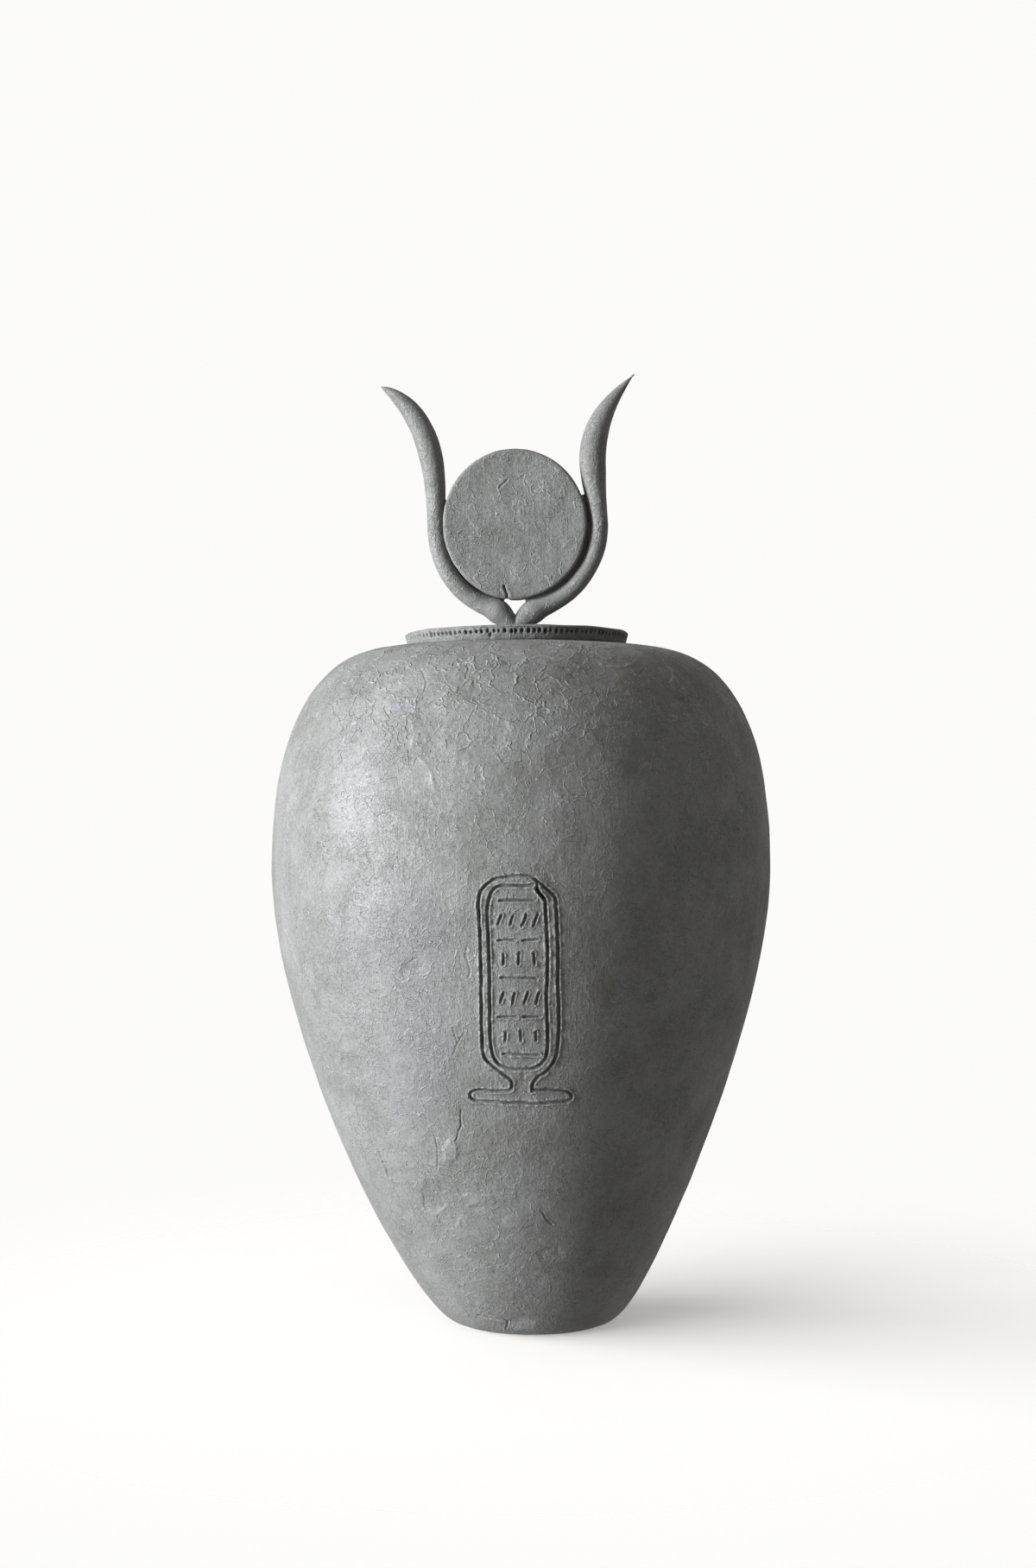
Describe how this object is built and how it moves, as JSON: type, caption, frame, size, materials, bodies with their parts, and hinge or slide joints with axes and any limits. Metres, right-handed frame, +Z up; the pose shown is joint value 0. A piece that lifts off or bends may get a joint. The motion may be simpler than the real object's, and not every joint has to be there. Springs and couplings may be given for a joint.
{
  "type": "lidded clay jar with horns and sun disc",
  "caption": "Tall hollow clay jar on a small foot, with an incised oval frame, and a loose lid that carries curved horns around a sun disc.",
  "frame": {"origin": "on the ground under the belly's axis, the middle of the underside of the whole object's box", "axes": "+Z up, -Y towards the front with the incised frame, +X to the right as seen from the front"},
  "size_m": [0.3106, 0.3106, 0.5903],
  "materials": {
    "jar_clay": "hand-smoothed unglazed grey clay, slightly sheeny where it was rubbed",
    "lid_clay": "hand-smoothed unglazed grey clay"
  },
  "bodies": {
    "root": {"vessel_body": "jar_clay", "horned_lid": "lid_clay"}
  },
  "joints": []
}
